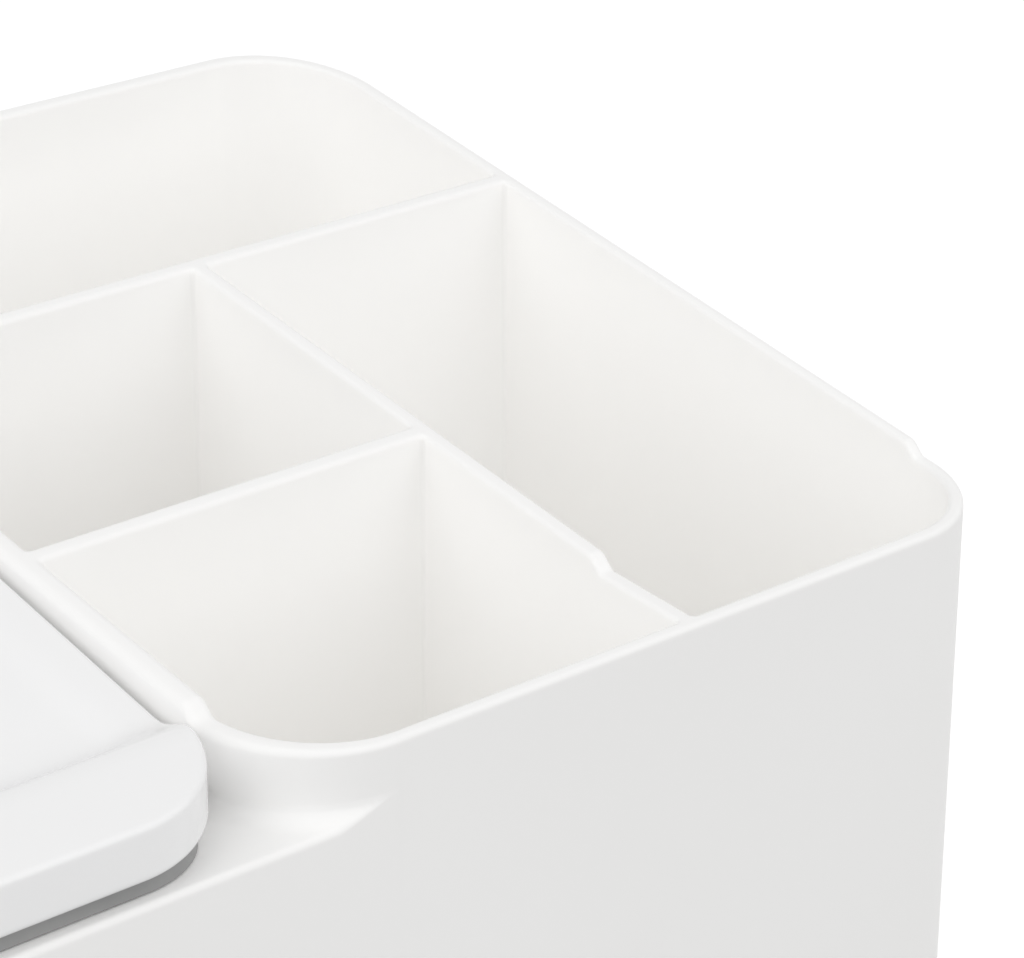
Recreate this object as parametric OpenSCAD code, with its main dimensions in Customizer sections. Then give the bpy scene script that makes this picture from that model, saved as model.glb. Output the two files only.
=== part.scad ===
// Desk organizer with a lift lid. A moulded body with a sloping rim holds a full-width rear slot,
// three open bays at the right, and a well under a hinged lid at the front left.
// Millimetres, +Z up, front towards -Y. The origin is on the desk, at the middle of the footprint.

/* [Body] */
// Width of the body at its highest rim
body_w = 220; // [190:1:280]
// Depth of the body at its highest rim
body_d = 135; // [120:1:180]
// Height of the low front rim above the desk
front_h = 85; // [60:1:130]
// Angle at which the rim climbs towards the back
rim_slope = 11.3; // [6:0.1:16]
// Depth of the gentle land behind the front rim
land_d = 14.6; // [13:0.1:24]
// Angle at which that land climbs
land_slope = 5.7; // [0:0.1:8]
// Height of the step from the land up to the sloping rim
step_h = 1.9; // [0.5:0.1:4]
// Front-to-back length of that step
step_run = 2.6; // [1.5:0.1:6]
// Thickness of the outer walls
wall = 2; // [1.6:0.1:3]
// Outer corner radius at the back and at the front left
corner_r = 16; // [10:0.5:20]
// Outer corner radius at the front right
front_corner_r = 15; // [10:0.5:20]
// Lean of the moulded walls from the vertical
draft = 0.6; // [0:0.1:0.8]

/* [Bays] */
// Width of the tall block of bays, measured over its outer faces
block_w = 111.4; // [95:0.2:130]
// Thickness of the block's wall beside the lid
block_wall = 3; // [2.4:0.1:4]
// Plan radius of the block's corner beside the lid
block_corner_r = 16; // [8:0.5:20]
// Thickness of the dividers at the rim
divider_t = 2; // [1.4:0.1:3]
// Clear depth of the rear slot at the rim
slot_d = 41.4; // [30:0.2:50]
// Clear width of the long right bay at the rim
right_bay_w = 49.2; // [35:0.2:60]
// Clear depth of the small front bay at the rim
front_bay_d = 43.8; // [36:0.2:55]
// Corner radius inside the bays at the rim
bay_corner_r = 1; // [0.8:0.1:4]

/* [Well and deck] */
// Drop from the front rim to the deck that the lid closes on
deck_drop = 7.8; // [6.5:0.1:12]
// Thickness of the deck
deck_t = 2; // [1.5:0.1:3]
// Radius of the fillet where the deck meets the block
deck_fillet = 2.2; // [1:0.1:3]
// Width of the deck ledge round the well
ledge_w = 8; // [7:0.1:12]
// Depth of the deck behind the well, under the hinge
hinge_ledge_d = 15.6; // [14:0.1:22]
// Thickness of the well's own walls
well_wall = 1.8; // [1.4:0.1:2.2]
// Corner radius of the well
well_r = 9; // [4:0.5:12]
// Thickness of the cheek that carries the hinge at the left
cheek_t = 3; // [2.6:0.1:4]
// Front-to-back length of the cheek's level part
cheek_d = 9.5; // [8.5:0.1:14]
// Front-to-back length of the curve from the deck up to the cheek
cheek_run = 9; // [5:0.5:14]

/* [Lid] */
// Gap between the lid and the block beside it
lid_block_gap = 0.8; // [0.5:0.1:2]
// Gap between the lid and the cheek
lid_cheek_gap = 0.8; // [0.5:0.1:1.5]
// Distance from the body's front face back to the lid's front face
lid_front_inset = 0.8; // [0.5:0.1:3]
// Plan radius of the lid's front corners
lid_corner_r = 14; // [8:0.5:20]
// Depth of the lid's main face below the rim, at the land
lid_sink = 3; // [2:0.1:4]
// Height of the lid's front edge above the front rim
lid_front_rise = 0.7; // [-0.5:0.1:1]
// Angle at which the lid's front land climbs
lid_land_slope = 9; // [0:0.5:11]
// Distance from the land's back edge of the body to the lid's crest
crest_back = 1.2; // [1:0.1:4]
// Front-to-back length of the step down behind the crest
lid_step_run = 4.4; // [2.5:0.1:6]
// Thickness of the lid's top plate
lid_t = 1.6; // [1.2:0.1:1.8]
// Thickness of the lid's skirt
skirt_t = 1.8; // [1.4:0.1:2.2]
// Depth of the shallow panel in the lid's main face
panel_depth = 0.5; // [0.2:0.1:0.6]
// Width of the lid's border beside the panel, measured at the panel's foot
panel_border = 8.2; // [6:0.5:15]
// Width of the soft ramp round the panel
panel_ramp = 4; // [1:0.5:5]
// Plan radius of the panel's corners at its foot
panel_r = 5; // [2:0.5:12]

/* [Hinge] */
// Radius of the barrel along the lid's back edge
barrel_r = 3; // [2.6:0.1:3.4]
// Gap between the barrel and the divider behind it
barrel_gap = 0.6; // [0.4:0.1:1.2]
// Diameter of the hinge rod
rod_d = 2.4; // [1.8:0.1:2.8]
// Diametral clearance of the barrel on the rod
rod_fit = 0.15; // [0.1:0.05:0.2]
// How far the rod reaches into the block's wall
rod_socket = 2; // [1.2:0.1:2]
// How far the rod's end stands proud of the cheek
rod_proud = 0.1; // [0.05:0.05:0.1]

/* [Liner and seal] */
// Thickness of the liner plate under the lid
liner_t = 1.4; // [1:0.1:1.6]
// Clearance round the liner, inside the skirt
liner_fit = 0.1; // [0.05:0.05:0.3]
// Height of the gap under the skirt that the seal fills
seal_h = 2.1; // [1.5:0.1:3]
// Width of the seal
seal_w = 3; // [2.6:0.1:4]
// Distance from the lid's face in to the seal's face
seal_inset = 1.4; // [0.3:0.1:1.5]
// Width of the bead that holds the seal in the liner
bead_w = 1.2; // [0.8:0.1:1.2]
// Height of that bead
bead_h = 0.9; // [0.5:0.1:0.9]
// Plan radius of the seal's back corners
seal_back_r = 4; // [3:0.5:8]
// Gap between the seal and the deck when the lid is down
seal_gap = 0.2; // [0.1:0.05:0.4]

/* [Base] */
// Height of the body's lower edge above the desk
foot_proud = 1; // [0.5:0.1:2]
// How far the base plate is recessed above the body's lower edge
base_recess = 1; // [0.5:0.1:2]
// Thickness of the base plate
base_t = 2; // [1.6:0.1:3]
// Width of the ledge in the walls that the base plate closes against
seat_ledge = 0.8; // [0.5:0.1:1.2]
// Clearance round the base plate
base_fit = 0.2; // [0.1:0.05:0.5]
// Height of the stiffening ribs under the base plate
rib_h = 0.8; // [0.4:0.1:1]
// Width of those ribs
rib_w = 1.2; // [0.8:0.1:2]
// Number of ribs from front to back
rib_count = 7; // [3:1:11]
// Diameter of each foot pad
foot_d = 14; // [8:0.5:18]
// Depth of the seat of each foot pad in the base plate
foot_seat = 0.5; // [0.3:0.1:0.8]
// Diametral clearance of each foot pad in its seat
foot_fit = 0.2; // [0.1:0.05:0.4]
// Bevel round the lower edge of each foot pad
foot_bevel = 0.6; // [0.3:0.1:0.9]
// Distance from the body's sides in to the centre of each foot pad
foot_in = 20; // [16:1:30]

/* [Screws] */
// Outer diameter of the screw bosses
boss_d = 6; // [5:0.1:7]
// Height of the screw bosses above the base plate
boss_h = 12; // [9:0.5:20]
// Thickness of each boss above the end of its bore
boss_cap = 1.5; // [1:0.1:3]
// Thread diameter of the base screws
screw_d = 2.5; // [2:0.1:3]
// Length of the screws under the head
screw_l = 9; // [6:0.5:10]
// Diameter of the screw heads
head_d = 4.6; // [4:0.1:5.5]
// Height of the countersunk screw heads
head_h = 1.2; // [0.8:0.1:1.4]
// Diametral clearance of the screws in the base plate
screw_fit = 0.4; // [0.2:0.1:0.6]
// Length of the cross recess in the screw heads
cross_l = 3; // [2:0.1:3.6]
// Width of the cross recess
cross_w = 0.6; // [0.4:0.1:0.8]
// Depth of the cross recess
cross_h = 0.7; // [0.4:0.1:1]

/* [Hidden] */

// Sides of the moulded corners and of the true rounds, and steps of a side-view curve
hull_fn = 40;
round_fn = 64;
curve_steps = 10;
// A hair's overlap, how far large cutters overrun, and how far small ones do
eps = 0.01;
over = 5;
cut_over = 1;
// Least radius of a moulded corner at its foot
least_r = 0.3;

// Plan limits of the whole body
x_left = -body_w / 2;
x_right = body_w / 2;
y_front = -body_d / 2;
y_back = body_d / 2;

// The rim seen from the side: a gentle land, a step, then a straight climb
y_land = y_front + land_d;
y_step = y_land + step_run;
function land_z(y) = front_h + (y - y_front) * tan(land_slope);
function rim_z(y) = land_z(y_land) + step_h + (y - y_step) * tan(rim_slope);
body_h = rim_z(y_back);
function ease(t) = (1 - cos(180 * t)) / 2;
function s_curve(y0, y1, z0, z1) =
    [for (i = [0:curve_steps]) let (t = i / curve_steps)
        [y0 + (y1 - y0) * t, z0 + (z1 - z0) * ease(t)]];
rim_curve = concat([[y_front - over, land_z(y_front - over)]],
                   s_curve(y_land, y_step, land_z(y_land), rim_z(y_step)),
                   [[y_back + over, rim_z(y_back + over)]]);

// How far a moulded wall has leaned in at height z
function lean(z) = (body_h - z) * tan(draft);

// Bays, by the faces of their walls at the rim
slot_front = y_back - wall - slot_d;
divider_front = slot_front - divider_t;
x_block = x_right - block_w;
x_block_in = x_block + block_wall;
right_bay_x = x_right - wall - right_bay_w;
mid_bay_x = right_bay_x - divider_t;
front_bay_y = y_front + wall;
cross_y = front_bay_y + front_bay_d;
mid_bay_y = cross_y + divider_t;

// Deck and lid planes run side by side, and the lid meets the rim at the divider
lid_z0 = rim_z(y_step) - lid_sink;
lid_m = (rim_z(divider_front) - lid_z0) / (divider_front - y_step);
lid_angle = atan(lid_m);
function lid_z(y) = lid_z0 + (y - y_step) * lid_m;
deck_z0 = front_h - deck_drop;
function deck_z(y) = deck_z0 + max(0, y - y_land) * lid_m;

// Well opening inside the deck
well_x0 = x_left + cheek_t + ledge_w;
well_x1 = x_block - ledge_w;
well_y0 = y_front + ledge_w;
well_y1 = divider_front - hinge_ledge_d;

// Lid outline in plan
lid_x0 = x_left + cheek_t + lid_cheek_gap;
lid_x1 = x_block - lid_block_gap;
lid_y0 = y_front + lid_front_inset;

// Hinge axis: the barrel's top lies in the lid's main face
axis_y = divider_front - barrel_gap - barrel_r;
axis_z = lid_z(axis_y) - barrel_r / cos(lid_angle);
barrel_front = axis_y - barrel_r;
liner_y1 = barrel_front - liner_fit;
seal_y1 = liner_y1 - seal_inset;

// The lid's top seen from the side
crest_y = y_land - crest_back;
crest_z = front_h + lid_front_rise + (crest_y - lid_y0) * tan(lid_land_slope);
lid_foot_y = crest_y + lid_step_run;
function lid_top_curve(drop) =
    concat([[lid_y0 - over, crest_z - (crest_y - lid_y0 + over) * tan(lid_land_slope) - drop]],
           s_curve(crest_y, lid_foot_y, crest_z - drop, lid_z(lid_foot_y) - drop),
           [[axis_y - barrel_r * sin(lid_angle), lid_z(axis_y - barrel_r * sin(lid_angle)) - drop]]);
function deck_curve(rise, y1) =
    [[y_front - over, deck_z0 + rise], [y_land, deck_z0 + rise], [y1, deck_z(y1) + rise]];

// Base: heights of its faces and places of its screws and feet
base_z0 = foot_proud + base_recess;
base_z1 = base_z0 + base_t;
// A boss bites into the wall that carries it, in a round corner or beside the block
boss_bite = 0.8;
hole_d = screw_d + screw_fit;
function corner_boss(x, y, r, sx, sy) =
    let (d = (r - wall - lean(base_z1) - boss_d / 2 + boss_bite) * sin(45) - r)
    [x + sx * d, y + sy * d];
hollow_x = x_block - boss_d / 2 + boss_bite;
screw_places = [corner_boss(x_left, y_back, corner_r, -1, 1),
                corner_boss(x_right, y_back, corner_r, 1, 1),
                corner_boss(x_right, y_front, front_corner_r, 1, -1),
                corner_boss(x_left, y_front, corner_r, -1, -1),
                [hollow_x, well_y0 + well_r],
                [hollow_x, well_y1 - well_r]];
foot_h = base_z0 + foot_seat;
feet = [[x_left + foot_in, y_front + foot_in], [x_right - foot_in, y_front + foot_in],
        [x_left + foot_in, y_back - foot_in], [x_right - foot_in, y_back - foot_in]];

// The fillet beside the deck ends where the seal begins
fillet_r = min(deck_fillet, lid_block_gap + seal_inset);
// The bead runs along the middle of the seal's part that lies inside the skirt
bead_in = seal_inset + (seal_w - bead_w + skirt_t) / 2;

// A shape drawn in the side view, as [y, z], and stretched from x0 to x1
module along_x(x0, x1) {
    translate([x0, 0, 0]) rotate([90, 0, 90]) linear_extrude(x1 - x0) children();
}

// A space under a curve drawn in the side view
module under(curve, x0, x1, floor_z = -over) {
    first = curve[0];
    last = curve[len(curve) - 1];
    along_x(x0, x1) polygon(concat([[first[0], floor_z]], curve, [[last[0], floor_z]]));
}

// A box with round corners that narrows downwards; r holds the corner radii from the
// front left, counter-clockwise, at the height of the highest rim
module moulded(x0, y0, x1, y1, r, inset = 0) {
    places = [[x0 + r[0], y0 + r[0]], [x1 - r[1], y0 + r[1]],
              [x1 - r[2], y1 - r[2]], [x0 + r[3], y1 - r[3]]];
    hull() for (i = [0:3])
        translate([places[i][0], places[i][1], 0])
            cylinder(h = body_h + cut_over, r1 = max(least_r, r[i] - inset - lean(0)),
                     r2 = r[i] - inset - lean(body_h + cut_over), $fn = hull_fn);
}

// A plan outline with round corners; r holds the radii from the front left, counter-clockwise
module plan(x0, y0, x1, y1, r) {
    places = [[x0 + r[0], y0 + r[0]], [x1 - r[1], y0 + r[1]],
              [x1 - r[2], y1 - r[2]], [x0 + r[3], y1 - r[3]]];
    signs = [[-1, -1], [1, -1], [1, 1], [-1, 1]];
    union() {
        difference() {
            translate([x0, y0]) square([x1 - x0, y1 - y0]);
            for (i = [0:3])
                translate(places[i]) translate([signs[i][0] > 0 ? 0 : -r[i] - cut_over,
                                                signs[i][1] > 0 ? 0 : -r[i] - cut_over])
                    square(r[i] + cut_over);
        }
        for (i = [0:3]) translate(places[i]) circle(r = r[i], $fn = round_fn);
    }
}

module body_outline(inset = 0) {
    moulded(x_left, y_front, x_right, y_back,
            [corner_r, front_corner_r, corner_r, corner_r], inset);
}

// The block and the rear slot stand up to the rim; the deck fills the front left corner
module body_mass() {
    intersection() {
        body_outline();
        under(rim_curve, x_left - over, x_right + over, foot_proud);
        union() {
            translate([x_left - over, divider_front, 0])
                cube([body_w + 2 * over, body_d, body_h + over]);
            linear_extrude(body_h + over)
                plan(x_block, y_front + lean(front_h), x_right + over, divider_front + over,
                     [block_corner_r, eps, eps, eps]);
            under(deck_curve(0, divider_front + eps), x_left - over, x_block + block_corner_r);
            block_foot();
            cheek();
        }
    }
}

// Fillet at the block's foot, round its corner and then along the climbing deck
module block_foot() {
    translate([x_block + block_corner_r, y_front + lean(front_h) + block_corner_r, deck_z0])
        rotate([0, 0, 180]) rotate_extrude(angle = 90, $fn = round_fn)
            translate([block_corner_r, 0]) fillet();
    translate([x_block, divider_front, deck_z(divider_front)]) rotate([90 + lid_angle, 0, 0])
        linear_extrude((divider_front - y_land) / cos(lid_angle)) mirror([1, 0]) fillet();
}

// Section of a fillet, sunk a little into both faces so that its edges cross them
module fillet() {
    sunk = fillet_r - 2 * eps;
    difference() {
        translate([-cut_over, -cut_over]) square(fillet_r + cut_over);
        translate([sunk, sunk]) circle(r = fillet_r, $fn = round_fn);
    }
}

module cheek() {
    y1 = divider_front - cheek_d;
    y0 = y1 - cheek_run;
    curve = concat(s_curve(y0, y1, deck_z(y0), rim_z(y1)),
                   [[divider_front + eps, rim_z(divider_front + eps)]]);
    under(curve, x_left - over, x_left + cheek_t);
}

// The hollow between the outer walls and the well's walls, open at the bottom
module deck_hollow() {
    difference() {
        intersection() {
            body_outline(wall);
            translate([x_left, y_front, -over])
                cube([x_block - x_left, divider_front - y_front, body_h]);
            under(deck_curve(-deck_t, divider_front + over), x_left - over, x_block + over);
        }
        linear_extrude(body_h)
            plan(well_x0 - well_wall, well_y0 - well_wall, well_x1 + well_wall, well_y1 + well_wall,
                 [for (i = [0:3]) well_r + well_wall]);
    }
}

module body_shell() {
    inner_r = corner_r - wall;
    color("white") difference() {
        union() {
            difference() {
                body_mass();
                // Rear slot, long right bay, middle bay and small front bay
                moulded(x_left + wall, slot_front, x_right - wall, y_back - wall,
                        [bay_corner_r, bay_corner_r, inner_r, inner_r]);
                moulded(right_bay_x, front_bay_y, x_right - wall, divider_front,
                        [bay_corner_r, front_corner_r - wall, bay_corner_r, bay_corner_r]);
                moulded(x_block_in, mid_bay_y, mid_bay_x, divider_front,
                        [for (i = [0:3]) bay_corner_r]);
                moulded(x_block_in, front_bay_y, mid_bay_x, cross_y,
                        [block_corner_r - wall, bay_corner_r, bay_corner_r, bay_corner_r]);
                moulded(well_x0, well_y0, well_x1, well_y1, [for (i = [0:3]) well_r]);
                deck_hollow();
            }
            for (p = screw_places)
                translate([p[0], p[1], base_z1]) cylinder(h = boss_h, d = boss_d, $fn = round_fn);
        }
        // Seat of the base plate
        translate([0, 0, foot_proud - cut_over]) linear_extrude(base_z1 - foot_proud + cut_over)
            base_outline(0);
        for (p = screw_places)
            translate([p[0], p[1], base_z1 - cut_over])
                cylinder(h = boss_h - boss_cap + cut_over, d = screw_d, $fn = round_fn);
        // Channel for the hinge barrel, and the rod's holes
        translate([x_left + cheek_t, axis_y, axis_z]) rotate([0, 90, 0])
            cylinder(h = x_block - x_left - cheek_t, r = barrel_r + barrel_gap, $fn = round_fn);
        rod(x_left - cut_over);
    }
}

// The rod, or the holes that it leaves, from x0 to its end in the block's wall
module rod(x0) {
    translate([x0, axis_y, axis_z]) rotate([0, 90, 0])
        cylinder(h = x_block + rod_socket - x0, d = rod_d, $fn = round_fn);
}

module hinge_rod() {
    color("silver") rod(x_left + lean(axis_z) - rod_proud);
}

module base_outline(gap) {
    i = wall + lean(base_z1) - seat_ledge + gap;
    plan(x_left + i, y_front + i, x_right - i, y_back - i,
         [corner_r - i, front_corner_r - i, corner_r - i, corner_r - i]);
}

module base_plate() {
    rib_in = foot_in + foot_d;
    pitch = body_w / (rib_count + 1);
    rib_l = body_d - 2 * rib_in;
    cross_rib_l = body_w - 2 * rib_in;
    color("white") difference() {
        union() {
            translate([0, 0, base_z0]) linear_extrude(base_t) base_outline(base_fit);
            for (i = [1:rib_count])
                translate([x_left + i * pitch - rib_w / 2, y_front + rib_in, base_z0 - rib_h])
                    cube([rib_w, rib_l, rib_h + eps]);
            for (y = [y_front + foot_in, y_back - foot_in])
                translate([x_left + rib_in, y - rib_w / 2, base_z0 - rib_h])
                    cube([cross_rib_l, rib_w, rib_h + eps]);
        }
        for (p = feet)
            translate([p[0], p[1], base_z0 - cut_over])
                cylinder(h = foot_seat + cut_over, d = foot_d + foot_fit, $fn = round_fn);
        for (p = screw_places) translate([p[0], p[1], base_z0]) {
            translate([0, 0, -cut_over])
                cylinder(h = base_t + 2 * cut_over, d = hole_d, $fn = round_fn);
            translate([0, 0, -eps])
                cylinder(h = head_h + eps, d1 = head_d + screw_fit, d2 = hole_d, $fn = round_fn);
        }
    }
}

module base_screws() {
    color("silver") for (p = screw_places) translate([p[0], p[1], base_z0]) difference() {
        union() {
            cylinder(h = head_h, d1 = head_d, d2 = screw_d, $fn = round_fn);
            cylinder(h = screw_l, d = screw_d, $fn = round_fn);
        }
        for (a = [0, 90]) rotate([0, 0, a])
            translate([-cross_l / 2, -cross_w / 2, -eps]) cube([cross_l, cross_w, cross_h]);
    }
}

module foot(p) {
    color("gray") translate([p[0], p[1], 0]) {
        cylinder(h = foot_bevel, d1 = foot_d - 2 * foot_bevel, d2 = foot_d, $fn = round_fn);
        translate([0, 0, foot_bevel])
            cylinder(h = foot_h - foot_bevel, d = foot_d, $fn = round_fn);
    }
}

// The lid's outline in plan, drawn in by inset
module lid_plan(inset, y1) {
    plan(lid_x0 + inset, lid_y0 + inset, lid_x1 - inset, y1,
         [lid_corner_r - inset, lid_corner_r - inset, eps, eps]);
}

// A slice of the lid between two side-view curves
module lid_slice(top, bottom, inset, y1) {
    intersection() {
        linear_extrude(body_h + over) lid_plan(inset, y1);
        difference() {
            under(top, lid_x0 - over, lid_x1 + over, 0);
            under(bottom, lid_x0 - 2 * over, lid_x1 + 2 * over, -1);
        }
    }
}

module lid_top() {
    skirt_z = deck_curve(seal_h, axis_y + over);
    color("white") difference() {
        union() {
            lid_slice(lid_top_curve(0), skirt_z, 0, axis_y - barrel_r * sin(lid_angle));
            translate([lid_x0, axis_y, axis_z]) rotate([0, 90, 0])
                cylinder(h = lid_x1 - lid_x0, r = barrel_r, $fn = round_fn);
        }
        lid_slice(lid_top_curve(lid_t), deck_curve(seal_h - over, axis_y + over), skirt_t,
                  barrel_front);
        panel_recess();
        translate([lid_x0 - cut_over, axis_y, axis_z]) rotate([0, 90, 0])
            cylinder(h = lid_x1 - lid_x0 + 2 * cut_over, d = rod_d + rod_fit, $fn = round_fn);
    }
}

// The shallow panel, sunk in the main face with a soft ramp all round
module panel_recess() {
    side = panel_border + panel_r;
    places_x = [lid_x0 + side, lid_x1 - side];
    back_y = (barrel_front - lid_foot_y) / cos(lid_angle) - side;
    translate([0, y_step, lid_z0]) rotate([lid_angle, 0, 0])
        translate([0, lid_foot_y - y_step, 0]) hull() {
            for (x = places_x, y = [panel_r, back_y])
                translate([x, y, -panel_depth]) cylinder(h = 1, r = panel_r, $fn = hull_fn);
            for (x = places_x, y = [panel_r + panel_ramp / 4, back_y])
                translate([x, y, 0]) cylinder(h = 1, r = panel_r + panel_ramp, $fn = hull_fn);
        }
}

// The seal's outline in plan, drawn in by inset, with its own radius at the back
module seal_plan(inset, y1, back_r) {
    r = lid_corner_r - inset;
    plan(lid_x0 + inset, lid_y0 + inset, lid_x1 - inset, y1, [r, r, back_r, back_r]);
}

// A ring that follows the deck, between two heights above it
module deck_ring(inset, width, z0, z1) {
    y1 = seal_y1 + seal_inset - inset;
    intersection() {
        linear_extrude(body_h) difference() {
            seal_plan(inset, y1, seal_back_r);
            seal_plan(inset + width, y1 - width, max(least_r, seal_back_r - width));
        }
        difference() {
            under(deck_curve(z1, axis_y + over), lid_x0 - over, lid_x1 + over, 0);
            under(deck_curve(z0, axis_y + over), lid_x0 - 2 * over, lid_x1 + 2 * over, -1);
        }
    }
}

module lid_liner() {
    color("white") difference() {
        lid_slice(deck_curve(seal_h + liner_t, axis_y + over), deck_curve(seal_h, axis_y + over),
                  skirt_t + liner_fit, liner_y1);
        deck_ring(bead_in, bead_w, seal_h - cut_over, seal_h + bead_h);
    }
}

module lid_seal() {
    color("dimgray") union() {
        deck_ring(seal_inset, seal_w, seal_gap, seal_h);
        deck_ring(bead_in, bead_w, seal_h - bead_h, seal_h + bead_h);
    }
}

body_shell();
base_plate();
base_screws();
foot(feet[0]);  // foot_front_left
foot(feet[1]);  // foot_front_right
foot(feet[2]);  // foot_rear_left
foot(feet[3]);  // foot_rear_right
hinge_rod();
lid_top();
lid_liner();
lid_seal();
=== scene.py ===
"""Looks of the desk organizer with a lift lid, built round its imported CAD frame.

Two meshes with rounded edges stand in for the body moulding and the lid. All other pieces are
the CAD's own and only get materials. Sizes in this file are in millimetres, apart from what
Blender's own objects, lamps and textures take.
"""

import math

import bmesh
import bpy
import numpy as np
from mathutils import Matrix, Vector
from mathutils.geometry import delaunay_2d_cdt


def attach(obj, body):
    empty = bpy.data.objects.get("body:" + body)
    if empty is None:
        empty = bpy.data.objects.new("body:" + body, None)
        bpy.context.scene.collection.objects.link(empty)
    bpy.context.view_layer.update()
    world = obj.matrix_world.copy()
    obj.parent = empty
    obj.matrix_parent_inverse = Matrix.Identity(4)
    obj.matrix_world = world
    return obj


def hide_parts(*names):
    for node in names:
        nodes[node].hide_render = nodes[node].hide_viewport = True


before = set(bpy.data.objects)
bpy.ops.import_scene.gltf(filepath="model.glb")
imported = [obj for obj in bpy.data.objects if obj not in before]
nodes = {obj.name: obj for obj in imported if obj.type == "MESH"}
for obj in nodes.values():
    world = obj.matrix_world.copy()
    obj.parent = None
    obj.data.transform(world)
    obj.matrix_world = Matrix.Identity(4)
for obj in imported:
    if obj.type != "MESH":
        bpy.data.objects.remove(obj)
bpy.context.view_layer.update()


def node_tree(name):
    """A new material, its node tree and its shader."""
    mat = bpy.data.materials.new(name)
    mat.use_nodes = True
    tree = mat.node_tree
    shader = tree.nodes["Principled BSDF"]
    return mat, tree, shader


def noise(tree, scale, detail, rough=0.5, stretch=(1, 1, 1)):
    """A noise texture in object space; scale is per metre."""
    place = tree.nodes.new("ShaderNodeTexCoord")
    mapping = tree.nodes.new("ShaderNodeMapping")
    mapping.inputs["Scale"].default_value = stretch
    tree.links.new(place.outputs["Object"], mapping.inputs["Vector"])
    texture = tree.nodes.new("ShaderNodeTexNoise")
    texture.inputs["Scale"].default_value = scale
    texture.inputs["Detail"].default_value = detail
    texture.inputs["Roughness"].default_value = rough
    tree.links.new(mapping.outputs["Vector"], texture.inputs["Vector"])
    return texture.outputs["Fac"]


def ramp(tree, source, stops):
    """A colour ramp driven by source; stops are (position, colour)."""
    node = tree.nodes.new("ShaderNodeValToRGB")
    band = node.color_ramp
    band.elements[0].position, band.elements[0].color = stops[0][0], (*stops[0][1], 1)
    band.elements[1].position, band.elements[1].color = stops[-1][0], (*stops[-1][1], 1)
    for position, colour in stops[1:-1]:
        band.elements.new(position).color = (*colour, 1)
    tree.links.new(source, node.inputs["Fac"])
    return node.outputs["Color"]


def spread(tree, source, low, high):
    """Source, from its 0 to 1, mapped to low to high."""
    node = tree.nodes.new("ShaderNodeMapRange")
    node.inputs["To Min"].default_value = low
    node.inputs["To Max"].default_value = high
    tree.links.new(source, node.inputs["Value"])
    return node.outputs["Result"]


def grain(tree, shader, source, depth, strength, soft=None):
    """Bumps the shader's surface; soft also rounds its edges by that radius."""
    bump = tree.nodes.new("ShaderNodeBump")
    bump.inputs["Distance"].default_value = depth
    bump.inputs["Strength"].default_value = strength
    tree.links.new(source, bump.inputs["Height"])
    if soft:
        bevel = tree.nodes.new("ShaderNodeBevel")
        bevel.samples = 6
        bevel.inputs["Radius"].default_value = soft
        tree.links.new(bevel.outputs["Normal"], bump.inputs["Normal"])
    tree.links.new(bump.outputs["Normal"], shader.inputs["Normal"])


def plastic(name, dark, light, rough, shine):
    """Moulded plastic with a very fine spark texture and faint cloudiness."""
    mat, tree, shader = node_tree(name)
    cloud = noise(tree, 18, 4)
    tree.links.new(ramp(tree, cloud, [(0.3, dark), (0.7, light)]), shader.inputs["Base Color"])
    tree.links.new(spread(tree, noise(tree, 240, 3), rough - 0.05, rough + 0.05),
                   shader.inputs["Roughness"])
    shader.inputs["Specular IOR Level"].default_value = shine
    grain(tree, shader, noise(tree, 2600, 2), 0.00002, 0.25, 0.0004)
    return mat


def rubber(name, dark, light):
    """Matte rubber with a fine mottle."""
    mat, tree, shader = node_tree(name)
    tree.links.new(ramp(tree, noise(tree, 160, 4), [(0.3, dark), (0.7, light)]),
                   shader.inputs["Base Color"])
    tree.links.new(spread(tree, noise(tree, 500, 3), 0.62, 0.8), shader.inputs["Roughness"])
    shader.inputs["Specular IOR Level"].default_value = 0.3
    grain(tree, shader, noise(tree, 3200, 3), 0.00003, 0.4)
    return mat


def steel(name):
    """Steel drawn along its length, the x axis."""
    mat, tree, shader = node_tree(name)
    drawn = noise(tree, 900, 4, stretch=(0.03, 1, 1))
    tree.links.new(ramp(tree, drawn, [(0.3, (0.5, 0.5, 0.51)), (0.7, (0.66, 0.66, 0.67))]),
                   shader.inputs["Base Color"])
    shader.inputs["Metallic"].default_value = 1
    tree.links.new(spread(tree, drawn, 0.22, 0.38), shader.inputs["Roughness"])
    grain(tree, shader, drawn, 0.00001, 0.3)
    return mat


white = plastic("white_plastic_satin", (0.970, 0.966, 0.958), (0.981, 0.978, 0.971), 0.58, 0.16)
grey = rubber("grey_seal_rubber", (0.295, 0.296, 0.295), (0.335, 0.335, 0.333))
foot_rubber = rubber("foot_rubber_matte", (0.3, 0.3, 0.295), (0.35, 0.35, 0.345))
metal = steel("drawn_steel")
lid_white = plastic("lid_plastic_gloss", (0.915, 0.915, 0.917), (0.927, 0.927, 0.929), 0.2, 0.5)
LOOKS = {"base_screws": metal, "hinge_rod": metal, "lid_seal": grey}
for name, obj in nodes.items():
    look = foot_rubber if name.startswith("foot_") else LOOKS.get(name, white)
    obj.data.materials.clear()
    obj.data.materials.append(look)

# Sizes of the moulding, as in the CAD source, apart from what follows late measurements of the
# photograph: the block's wall and the lid's right edge stand a little further right, the lid's
# fall, corners and panel are softer, and the bays' upright corners are sharper.
X_LEFT, X_RIGHT, Y_FRONT, Y_BACK = -110.0, 110.0, -67.5, 67.5
FRONT_H, LAND_D, STEP_H, STEP_RUN = 85.0, 14.6, 1.9, 2.6
LAND_TAN, RIM_TAN, DRAFT_TAN = (math.tan(math.radians(a)) for a in (5.7, 11.3, 0.6))
WALL, CORNER_R, FRONT_CORNER_R, BAY_R = 2.0, 16.0, 15.0, 0.6
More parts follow.
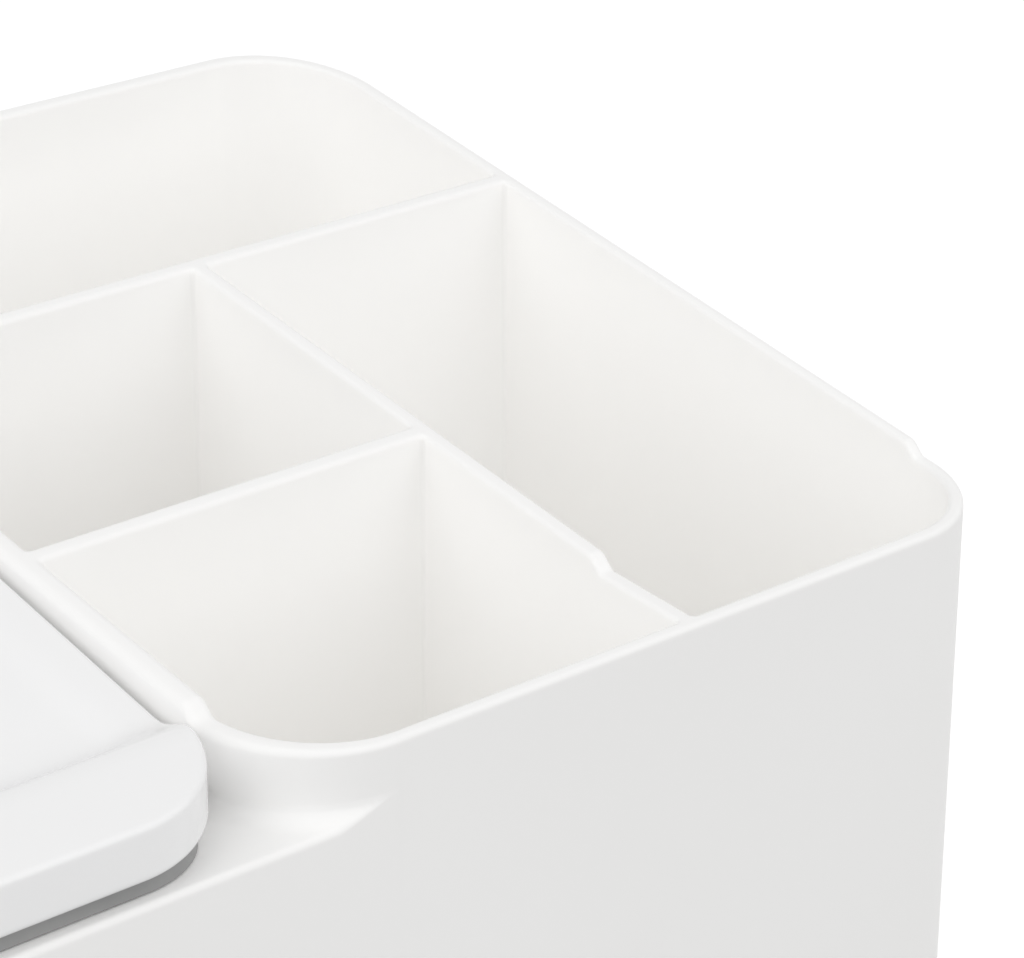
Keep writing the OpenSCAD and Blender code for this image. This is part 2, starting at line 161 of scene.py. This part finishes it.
# The share of the outer draft that the pockets have, so that their sharp corners stay open
POCKET_DRAFT = 0.4
BLOCK_W, BLOCK_WALL, BLOCK_R, DIVIDER = 110.7, 3.0, 16.0, 2.0
SLOT_D, RIGHT_BAY_W, FRONT_BAY_D = 41.4, 49.2, 43.8
DECK_DROP, LEDGE, HINGE_LEDGE, WELL_R = 7.8, 8.0, 15.6, 9.0
CHEEK_T, CHEEK_D, CHEEK_RUN = 3.0, 9.5, 9.0
LID_SIDE_GAP, LID_CHEEK_GAP, LID_INSET, LID_R = 1.0, 0.8, 0.8, 15.6
LID_SINK, LID_RISE, LID_TAN, CREST_BACK, LID_RUN = 3.0, 0.7, math.tan(math.radians(9)), 1.2, 8.0
# How far before the crest its fall begins, and how the skirt's lower edge is rounded and climbs
CREST_EASE, SKIRT_ROUND, SKIRT_RISE = 1.4, 1.0, 0.7
SKIRT, PANEL_FRONT, PANEL_BACK, PANEL_R, PANEL_RAMP = 1.8, 1.0, 0.2, 5.0, 4.7
BARREL_R, BARREL_GAP, SEAL_H = 3.0, 0.6, 2.1
BODY_FOOT, FLOOR_Z, SEAT_LIP, BOSS_R, BOSS_TOP = 1.0, 4.0, 1.2, 3.0, 16.0
# Radii of the edges, which are sharp in the CAD source, and of the fillet at the block's foot
RIM_ROUND, BLOCK_ROUND, DECK_ROUND, LID_ROUND, FILLET = 0.6, 1.1, 0.8, 0.7, 2.2

y_land = Y_FRONT + LAND_D
y_step = y_land + STEP_RUN
slot_front = Y_BACK - WALL - SLOT_D
divider = slot_front - DIVIDER
x_block = X_RIGHT - BLOCK_W
x_bay = X_RIGHT - WALL - RIGHT_BAY_W
cross_y = Y_FRONT + WALL + FRONT_BAY_D


def ease(t):
    return (1 - np.cos(np.pi * np.clip(t, 0, 1))) / 2


def land(y):
    return FRONT_H + (y - Y_FRONT) * LAND_TAN


def slope(y):
    return land(y_land) + STEP_H + (y - y_step) * RIM_TAN


BODY_H = slope(Y_BACK)
lid_z0 = slope(y_step) - LID_SINK
LID_M = (slope(divider) - lid_z0) / (divider - y_step)
lid_c = math.cos(math.atan(LID_M))
lid_s = math.sin(math.atan(LID_M))
axis_y = divider - BARREL_GAP - BARREL_R
axis_z = lid_z0 + (axis_y - y_step) * LID_M - BARREL_R / lid_c
crest_y = y_land - CREST_BACK
foot_y = crest_y - CREST_EASE + LID_RUN


def rim(y):
    step = land(y_land) + (slope(y_step) - land(y_land)) * ease((y - y_land) / STEP_RUN)
    return np.where(y <= y_land, land(y), np.where(y >= y_step, slope(y), step))


def deck(y):
    return FRONT_H - DECK_DROP + np.maximum(0, y - y_land) * LID_M


cheek_y1 = divider - CHEEK_D
cheek_y0 = cheek_y1 - CHEEK_RUN


def crown(x, y):
    """Height of the rim, or of the cheek at the left of the lid."""
    rise = deck(cheek_y0) + (slope(cheek_y1) - deck(cheek_y0)) * ease((y - cheek_y0) / CHEEK_RUN)
    on_cheek = (x < X_LEFT + CHEEK_T + 1) & (y < cheek_y1)
    return np.where(on_cheek, np.maximum(rise, deck(y)), rim(y))


def lid_plane(y):
    return lid_z0 + (y - y_step) * LID_M


def lean(z):
    return (BODY_H - z) * DRAFT_TAN


EXTRA_Y = [y_land - 1 + 0.3 * i for i in range(18)]


def line(a, b):
    """Points from a up to, and not with, b, dense where the rim has its step."""
    a, b = np.array(a, float), np.array(b, float)
    t = set(np.linspace(0, 1, max(2, int(np.hypot(*(b - a)) / 3) + 1))[:-1])
    if abs(b[1] - a[1]) > 1e-6:
        t |= {(y - a[1]) / (b[1] - a[1]) for y in EXTRA_Y}
    kept = sorted(v for v in t if -1e-9 <= v < 1 - 1e-6)
    return [a + (b - a) * v for v in kept]


def arc(cx, cy, r, start, turn=90, n=20):
    a = np.radians(np.linspace(start, start + turn, n + 1))
    return [np.array([cx + r * math.cos(v), cy + r * math.sin(v)]) for v in a]


def rounded(x0, y0, x1, y1, r):
    """Closed loop, counter-clockwise from the front left corner's end; r from the front left."""
    fine = [28 if v > 5 else 8 for v in r]
    loop = arc(x0 + r[0], y0 + r[0], r[0], 180, n=fine[0])
    loop += line(loop[-1], (x1 - r[1], y0))[1:] + arc(x1 - r[1], y0 + r[1], r[1], 270, n=fine[1])
    loop += line(loop[-1], (x1, y1 - r[2]))[1:] + arc(x1 - r[2], y1 - r[2], r[2], 0, n=fine[2])
    loop += line(loop[-1], (x0 + r[3], y1))[1:] + arc(x0 + r[3], y1 - r[3], r[3], 90, n=fine[3])
    loop += line(loop[-1], loop[0])[1:]
    return np.array(loop)


def mitres(points, closed=True):
    """For each point of a path, the way to its right. A shift by d times it moves each edge by d."""
    nxt = np.roll(points, -1, 0) - points
    nxt /= np.maximum(np.hypot(*nxt.T), 1e-9)[:, None]
    right = np.stack([nxt[:, 1], -nxt[:, 0]], 1)
    before = np.roll(right, 1, 0)
    if not closed:
        right[-1] = right[-2]
        before[0] = right[0]
    both = right + before
    return both / np.maximum(1 + (right * before).sum(1), 0.3)[:, None]


class Skin:
    """Collects vertices and faces in millimetres."""

    def __init__(self):
        self.verts, self.faces = [], []

    def rows(self, rows, closed):
        """A strip of quads over rows of equal length."""
        n = len(rows[0])
        for row in rows:
            self.verts.extend(row)
        base = len(self.verts) - n * len(rows)
        for k in range(len(rows) - 1):
            for i in range(n if closed else n - 1):
                j = (i + 1) % n
                a = base + k * n
                self.faces.append((a + i, a + j, a + n + j, a + n + i))

    def sheet(self, rings, free, height, keep):
        """Fills between closed rings; height gives z and keep says which triangles stay."""
        flat, edges = [], []
        for ring in rings:
            start = len(flat)
            flat += [tuple(p) for p in ring]
            edges += [(start + i, start + (i + 1) % len(ring)) for i in range(len(ring))]
        flat += [tuple(p) for p in free]
        out = delaunay_2d_cdt([Vector(p) for p in flat], edges, [], 0, 1e-5, True)
        xy = np.array([(v.x, v.y) for v in out[0]])
        tri = np.array([f for f in out[2] if len(f) == 3])
        tri = tri[keep(xy[tri].mean(1))]
        base = len(self.verts)
        z = height(xy[:, 0], xy[:, 1])
        self.verts.extend(np.column_stack([xy, z]))
        self.faces.extend(tuple(int(v) + base for v in f) for f in tri)

    def disc(self, ring):
        base = len(self.verts)
        self.verts.extend(ring)
        self.faces.append(tuple(range(base, base + len(ring))))

    def build(self, name, look):
        verts = np.array(self.verts) * 0.001
        mesh = bpy.data.meshes.new(name)
        made = bmesh.new()
        vs = [made.verts.new(v) for v in verts]
        made.verts.ensure_lookup_table()
        for f in self.faces:
            if len(set(f)) == len(f):
                try:
                    made.faces.new([vs[i] for i in f])
                except ValueError:
                    pass
        bmesh.ops.remove_doubles(made, verts=made.verts, dist=1.5e-6)
        bmesh.ops.dissolve_degenerate(made, dist=1e-6, edges=made.edges)
        loose = [v for v in made.verts if not v.link_faces]
        bmesh.ops.delete(made, geom=loose, context="VERTS")
        bmesh.ops.recalc_face_normals(made, faces=made.faces)
        made.to_mesh(mesh)
        made.free()
        mesh.polygons.foreach_set("use_smooth", [True] * len(mesh.polygons))
        mesh.materials.append(look)
        obj = bpy.data.objects.new(name, mesh)
        bpy.context.collection.objects.link(obj)
        weigh = obj.modifiers.new("weigh", "WEIGHTED_NORMAL")
        weigh.weight = 90
        return obj


def inside(points, ring):
    """Even-odd test of many points against one closed ring."""
    x, y = points[:, 0][:, None], points[:, 1][:, None]
    a, b = ring, np.roll(ring, -1, 0)
    across = (a[:, 1] > y) != (b[:, 1] > y)
    with np.errstate(divide="ignore", invalid="ignore"):
        cut = (b[:, 0] - a[:, 0]) * (y - a[:, 1]) / (b[:, 1] - a[:, 1]) + a[:, 0]
    return ((across & (x < cut)).sum(1) % 2) == 1


def wall_rows(path, out, radius, top, bottom, drafted, steps=5):
    """Rows of a wall under a rounded top edge.

    out points away from the material, top is a function of x and y, and drafted is the share of
    the draft by which the wall leans against out on its way down.
    """
    radius = np.broadcast_to(radius, len(path)).astype(float)
    drafted = np.broadcast_to(drafted, len(path)).astype(float)
    rows = []
    for k in range(steps + 1):
        a = math.pi / 2 * k / steps
        q = path - out * (radius * (1 - math.sin(a)))[:, None]
        # The top is read where the leaning wall really is, so that the sheets meet it
        for turn in range(3):
            z = top(*(q if turn == 0 else leant).T)
            leant = q - out * (drafted * lean(z))[:, None]
        rows.append(np.column_stack([leant, top(*leant.T) - radius * (1 - math.cos(a))]))
    low = np.broadcast_to(bottom, len(path)).astype(float)
    z0 = rows[-1][:, 2]
    for share in (0.5, 1.0):
        z = z0 + (low - z0) * share
        q = path - out * (drafted * lean(z))[:, None]
        rows.append(np.column_stack([q, z]))
    return rows


# The pockets: slot, right bay, middle bay, front bay
x_in = x_block + BLOCK_WALL
inner_r = CORNER_R - WALL
pockets = [
    rounded(X_LEFT + WALL, slot_front, X_RIGHT - WALL, Y_BACK - WALL, [BAY_R, BAY_R, inner_r, inner_r]),
    rounded(x_bay, Y_FRONT + WALL, X_RIGHT - WALL, divider, [BAY_R, FRONT_CORNER_R - WALL, BAY_R, BAY_R]),
    rounded(x_in, cross_y + DIVIDER, x_bay - DIVIDER, divider, [BAY_R] * 4),
    rounded(x_in, Y_FRONT + WALL, x_bay - DIVIDER, cross_y, [BLOCK_R - WALL, BAY_R, BAY_R, BAY_R]),
]
well = rounded(X_LEFT + CHEEK_T + LEDGE, Y_FRONT + LEDGE, x_block - LEDGE, divider - HINGE_LEDGE,
               [WELL_R] * 4)

# The body's outline, walked counter-clockwise, in two parts that meet the deck's inner border
x_a = x_block + BLOCK_R
y_a = Y_FRONT + BLOCK_R
high = line((x_a, Y_FRONT), (X_RIGHT - FRONT_CORNER_R, Y_FRONT))
high += arc(X_RIGHT - FRONT_CORNER_R, Y_FRONT + FRONT_CORNER_R, FRONT_CORNER_R, 270, n=28)
high += line(high[-1], (X_RIGHT, Y_BACK - CORNER_R))[1:]
high += arc(X_RIGHT - CORNER_R, Y_BACK - CORNER_R, CORNER_R, 0, n=28)
high += line(high[-1], (X_LEFT + CORNER_R, Y_BACK))[1:]
high += arc(X_LEFT + CORNER_R, Y_BACK - CORNER_R, CORNER_R, 90, n=28)
high += line(high[-1], (X_LEFT, cheek_y0))[1:] + [np.array([X_LEFT, cheek_y0])]
high = np.array(high)
low = line((X_LEFT, cheek_y0), (X_LEFT, Y_FRONT + CORNER_R))
low += arc(X_LEFT + CORNER_R, Y_FRONT + CORNER_R, CORNER_R, 180, n=28)
low += line(low[-1], (x_a - 12, Y_FRONT))[1:]
low += [np.array([x, Y_FRONT]) for x in np.linspace(x_a - 12, x_a, 25)]
low = np.array(low)
# The inner border: up the cheek, along the divider, down the block and round its corner
border = line((X_LEFT + CHEEK_T, cheek_y0), (X_LEFT + CHEEK_T, divider))
border += line((X_LEFT + CHEEK_T, divider), (x_block, divider))
border += line((x_block, divider), (x_block, y_a))
border += arc(x_a, y_a, BLOCK_R, 180, n=48)
border = np.array(border)


def to_border(x, y):
    """Distance from the block's wall, and how much of the fillet there is."""
    far = np.hypot(x - x_a, y - y_a)
    ahead = np.clip((y_a - y) / np.maximum(far, 1e-6), 0, 1)
    d_arc = far - BLOCK_R + ahead * lean(FRONT_H - DECK_DROP)
    d = np.where(y < y_a, d_arc, x_block - x)
    return d, np.clip((divider - 3 - y) / 8, 0, 1)


def floor_of_deck(x, y):
    """Height of the deck, with the fillet at the block's foot."""
    d, much = to_border(x, y)
    r = FILLET * much
    inner = np.clip(r - np.maximum(d, 0), 0, None)
    return deck(y) + np.where(r > 0.01, r - np.sqrt(np.maximum(r * r - inner * inner, 0)), 0)


def build_body(look):
    skin = Skin()
    out_high, out_low = mitres(high, False), mitres(low, False)
    out_border = mitres(border, False)
    # The block's corner leans with the front face that it runs into
    on_arc = (border[:, 0] > x_block - 1e-6) & (border[:, 1] < y_a + 1e-6)
    border_lean = np.where(on_arc, np.clip(-out_border[:, 1], 0, 1), 0)
    wall_top = crown(border[:, 0], border[:, 1]) - floor_of_deck(border[:, 0], border[:, 1])
    sideways = np.clip(-out_border[:, 0], 0, 1) ** 2 * (border[:, 0] > x_block - 1e-6)
    r_border = RIM_ROUND + (BLOCK_ROUND - RIM_ROUND) * sideways
    r_border = np.minimum(r_border, 0.3 * np.maximum(wall_top, 0.01))
    # The border is walked with the material on its left, like the outline. Where the wall above
    # the deck is low, its rounded edge shrinks with it
    rows = wall_rows(border, out_border, r_border, crown, floor_of_deck(border[:, 0], border[:, 1]),
                     border_lean)
    skin.rows(rows, False)
    border_ring, foot_ring = rows[0][:, :2], rows[-1][:, :2]
    # Outer walls, with the lip under the base plate
    for path, out, top in ((high, out_high, crown), (low, out_low, floor_of_deck)):
        if top is crown:
            r = np.full(len(path), RIM_ROUND)
            r[-8:] = np.linspace(RIM_ROUND, 0.02, 8)
        else:
            # The deck narrows to nothing where the block's corner meets the front wall
            beside = np.clip(x_a - path[:, 0], 0, BLOCK_R)
            gap = BLOCK_R - np.sqrt(np.clip(BLOCK_R**2 - beside ** 2, 0, None))
            narrow = np.minimum(DECK_ROUND, 0.35 * gap + 0.002)
            r = np.where(path[:, 1] < Y_FRONT + 0.01, narrow, DECK_ROUND)
            r[:8] = np.linspace(0.02, DECK_ROUND, 8)
        rows = wall_rows(path, out, r, top, BODY_FOOT + 0.4, 1)
        for inset, z in ((0.4, BODY_FOOT), (SEAT_LIP, BODY_FOOT), (SEAT_LIP, FLOOR_Z)):
            q = path - out * (lean(BODY_FOOT) + inset)
            rows.append(np.column_stack([q, np.full(len(path), z)]))
        skin.rows(rows, False)
        if top is crown:
            high_ring = rows[0][:, :2]
        else:
            low_ring = rows[0][:, :2]
    # Pockets, whose walls lean in towards the floor
    rings = []
    for ring in pockets + [well]:
        top = floor_of_deck if ring is well else crown
        out = -mitres(ring)
        beside_block = (ring[:, 0] < x_in + BLOCK_R) & (ring[:, 0] > x_in - 1e-6)
        sideways = np.clip(out[:, 0], 0, 1) ** 2 * beside_block
        r = RIM_ROUND + (BLOCK_ROUND - RIM_ROUND) * sideways
        rows = wall_rows(ring, out, r, top, FLOOR_Z, -POCKET_DRAFT)
        skin.rows(rows, True)
        rings.append(rows[0][:, :2])
    # The rim's flat top
    outer = np.vstack([high_ring, border_ring])
    skin.sheet([outer] + rings[:4], [], crown,
               lambda c: inside(c, outer) & ~np.any([inside(c, r) for r in rings[:4]], 0))
    # The deck, with the fillet against the block
    edge = np.vstack([low_ring, foot_ring[::-1][1:]])
    free = []
    on_block = border[:, 0] > x_block - 0.1
    wall_part, ways = foot_ring[on_block], out_border[on_block]
    for d in (0.12, 0.3, 0.6, 1.0, 1.5, 2.0, 2.6):
        free.append(wall_part + ways * d)
    free = np.vstack(free)
    to_low = np.hypot(free[:, None, 0] - low_ring[None, :, 0], free[:, None, 1] - low_ring[None, :, 1])
    free = free[inside(free, edge) & (to_low.min(1) > 0.15) & (free[:, 1] < divider - 1)]
    skin.sheet([edge, rings[4]], free, floor_of_deck, lambda c: inside(c, edge) & ~inside(c, rings[4]))
    # Bosses in the corners of the bays
    for cx, cy, r, sx, sy in ((X_LEFT, Y_BACK, CORNER_R, -1, 1), (X_RIGHT, Y_BACK, CORNER_R, 1, 1),
                              (X_RIGHT, Y_FRONT, FRONT_CORNER_R, 1, -1)):
        d = (r - WALL - lean(FLOOR_Z) - BOSS_R + 0.8) * math.sin(math.pi / 4) - r
        ring = np.array(arc(cx + sx * d, cy + sy * d, BOSS_R, 0, 360, 32))[:-1]
        small = np.array(arc(cx + sx * d, cy + sy * d, BOSS_R - 0.4, 0, 360, 32))[:-1]
        n = len(ring)
        rows = [np.column_stack([p, np.full(n, z)]) for p, z in
                ((ring, FLOOR_Z), (ring, BOSS_TOP - 0.4), (small, BOSS_TOP))]
        skin.rows(rows, True)
        skin.disc(rows[-1])
    return skin.build("body_shell_looks", look)


lid_x0, lid_x1, lid_y0 = X_LEFT + CHEEK_T + LID_CHEEK_GAP, x_block - LID_SIDE_GAP, Y_FRONT + LID_INSET
y_tangent = axis_y - BARREL_R * lid_s
crest_z = FRONT_H + LID_RISE + (crest_y - lid_y0) * LID_TAN
PANEL = (lid_x0 + 8.1, foot_y - 4, lid_x1 - 8.1, axis_y - BARREL_R - 8)


def panel_drop(x, y):
    """The shallow panel: its depth, less towards the back, with a soft ramp round it."""
    x0, y0, x1, y1 = PANEL
    dx = np.abs(x - (x0 + x1) / 2) - (x1 - x0) / 2 + PANEL_R
    dy = np.abs(y - (y0 + y1) / 2) - (y1 - y0) / 2 + PANEL_R
    far = np.hypot(np.maximum(dx, 0), np.maximum(dy, 0)) + np.minimum(np.maximum(dx, dy), 0) - PANEL_R
    depth = PANEL_FRONT + (PANEL_BACK - PANEL_FRONT) * (y - y0) / (y1 - y0)
    return depth * (1 - ease((far + 0.4) / PANEL_RAMP))


def lid_top_z(x, y):
    """The lid's land, the soft fall behind its crest and the lid's plane with its panel."""
    fall = ease((y - crest_y + CREST_EASE) / LID_RUN)
    z = (1 - fall) * (crest_z + (y - crest_y) * LID_TAN) + fall * lid_plane(y)
    return z - panel_drop(x, y) * fall


def build_lid(look):
    skin = Skin()
    path = line((lid_x0, y_tangent), (lid_x0, lid_y0 + LID_R))
    path += arc(lid_x0 + LID_R, lid_y0 + LID_R, LID_R, 180, n=36)
    path += line(path[-1], (lid_x1 - LID_R, lid_y0))[1:]
    path += arc(lid_x1 - LID_R, lid_y0 + LID_R, LID_R, 270, n=36)
    path += line(path[-1], (lid_x1, y_tangent))[1:] + [np.array([lid_x1, y_tangent])]
    path = np.array(path)
    out = mitres(path, False)
    # The skirt's lower edge is rounded, and climbs with the land at the front corners
    under = deck(path[:, 1]) + SEAL_H + np.minimum((path[:, 1] - lid_y0) * LID_TAN, SKIRT_RISE)
    rows = wall_rows(path, out, LID_ROUND, lid_top_z, under + SKIRT_ROUND, 0, steps=6)
    for a in np.radians((18, 36, 54, 72, 90)):
        q = path - out * SKIRT_ROUND * (1 - math.cos(a))
        rows.append(np.column_stack([q, under + SKIRT_ROUND * (1 - math.sin(a))]))
    for rise in (0, 1.6):
        rows.append(np.column_stack([path - out * SKIRT, under + rise]))
    skin.rows(rows, False)
    ring = rows[0][:, :2]
    back = [np.array([x, y_tangent]) for x in np.linspace(lid_x1, lid_x0, 60)[1:-1]]
    ring = np.vstack([ring, back])
    xs = np.linspace(lid_x0 + 1.5, lid_x1 - 1.5, 84)
    ys = np.concatenate([np.linspace(lid_y0 + 2, crest_y, 8), np.linspace(crest_y, foot_y + 9, 34)[1:],
                         np.linspace(foot_y + 9, y_tangent - 1, 50)[1:]])
    gx, gy = np.meshgrid(xs, ys)
    free = np.column_stack([gx.ravel(), gy.ravel()])
    free = free[inside(free, path - out * (LID_ROUND + 0.5))]
    skin.sheet([ring], free, lid_top_z, lambda c: inside(c, ring))
    # The barrel along the back edge
    a = np.radians(np.linspace(0, 360, 65))[:-1]
    ends = ((lid_x0, 0.3), (lid_x0 + 0.3, 0), (lid_x1 - 0.3, 0), (lid_x1, 0.3))
    rows = []
    for x, bevel in ends:
        r = BARREL_R - bevel
        rows.append(np.column_stack([np.full(64, x), axis_y + r * np.cos(a), axis_z + r * np.sin(a)]))
    skin.rows(rows, True)
    skin.disc(rows[0])
    skin.disc(rows[-1])
    return skin.build("lid_top_looks", look)


body = build_body(white)
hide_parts("body_shell")
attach(body, "base")
lid = build_lid(lid_white)
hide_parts("lid_top")
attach(lid, "lid")


def shown_rays(tree):
    """1 for the rays that show the background, straight or in a reflection, and 0 for the light's."""
    path = tree.nodes.new("ShaderNodeLightPath")
    seen = tree.nodes.new("ShaderNodeMath")
    seen.operation = "MAXIMUM"
    tree.links.new(path.outputs["Is Camera Ray"], seen.inputs[0])
    tree.links.new(path.outputs["Is Glossy Ray"], seen.inputs[1])
    return seen.outputs[0]


def grey_paper(tree, low, high):
    """The colour of the floor's paper, between two greys."""
    return ramp(tree, noise(tree, 6, 3), [(0.3, (low,) * 3), (0.7, (high,) * 3)])


def build_floor():
    """A floor that shows white with the object's shadow, and throws less light back than it shows."""
    bpy.ops.mesh.primitive_plane_add(size=8, location=(0, 0, 0))
    floor = bpy.context.object
    floor.name = "floor"
    paper, tree, shader = node_tree("pale_floor")
    tree.links.new(grey_paper(tree, 0.5, 0.52), shader.inputs["Base Color"])
    shader.inputs["Roughness"].default_value = 0.9
    shader.inputs["Specular IOR Level"].default_value = 0
    glow = tree.nodes.new("ShaderNodeEmission")
    glow.inputs["Strength"].default_value = 0.36
    shown = tree.nodes.new("ShaderNodeBsdfDiffuse")
    tree.links.new(grey_paper(tree, 0.88, 0.9), shown.inputs["Color"])
    both = tree.nodes.new("ShaderNodeAddShader")
    tree.links.new(glow.outputs["Emission"], both.inputs[0])
    tree.links.new(shown.outputs["BSDF"], both.inputs[1])
    mix = tree.nodes.new("ShaderNodeMixShader")
    tree.links.new(shown_rays(tree), mix.inputs["Fac"])
    tree.links.new(shader.outputs["BSDF"], mix.inputs[1])
    tree.links.new(both.outputs["Shader"], mix.inputs[2])
    tree.links.new(mix.outputs["Shader"], tree.nodes["Material Output"].inputs["Surface"])
    floor.data.materials.append(paper)


def build_world():
    """Even light from all round, before a background that shows white."""
    world = bpy.data.worlds.new("studio")
    bpy.context.scene.world = world
    world.use_nodes = True
    tree = world.node_tree
    light = tree.nodes["Background"]
    plain = tree.nodes.new("ShaderNodeBackground")
    for node, strength in ((light, 0.59), (plain, 1)):
        node.inputs["Color"].default_value = (1, 1, 1, 1)
        node.inputs["Strength"].default_value = strength
    mix = tree.nodes.new("ShaderNodeMixShader")
    tree.links.new(shown_rays(tree), mix.inputs["Fac"])
    tree.links.new(light.outputs["Background"], mix.inputs[1])
    tree.links.new(plain.outputs["Background"], mix.inputs[2])
    tree.links.new(mix.outputs["Shader"], tree.nodes["World Output"].inputs["Surface"])


def soft_lamp(name, place, watts):
    """A large square lamp that faces the middle of the object."""
    data = bpy.data.lights.new(name, "AREA")
    data.shape = "RECTANGLE"
    data.size = data.size_y = 1.5
    data.energy = watts
    lamp = bpy.data.objects.new(name, data)
    bpy.context.collection.objects.link(lamp)
    lamp.location = place
    way = [a - b for a, b in zip((0, 0, 0.06), place)]
    flat = math.hypot(way[0], way[1])
    lamp.rotation_euler = (math.atan2(flat, -way[2]), 0, math.atan2(way[1], way[0]) - math.pi / 2)


build_floor()
build_world()
soft_lamp("front_soft", (0, -1.39, 0.86), 5.2)
soft_lamp("left_soft", (-1.36, -0.05, 0.92), 8.9)
soft_lamp("right_soft", (1.06, -0.89, 0.86), 4.6)

# The photograph's own camera, solved from the object's rims
camera = bpy.data.objects.new("camera", bpy.data.cameras.new("camera"))
bpy.context.collection.objects.link(camera)
camera.data.sensor_width = 36
camera.data.lens = 142.98
camera.data.clip_start, camera.data.clip_end = 0.01, 20
camera.location = (-0.22635, -0.3591, 0.2732)
camera.rotation_euler = (math.radians(90 - 22.77), 0, math.radians(-41.36))
bpy.context.scene.camera = camera

scene = bpy.context.scene
scene.view_settings.view_transform = "Standard"
# The white pockets get much of their light by many bounces
scene.cycles.max_bounces = 24
scene.cycles.diffuse_bounces = 24
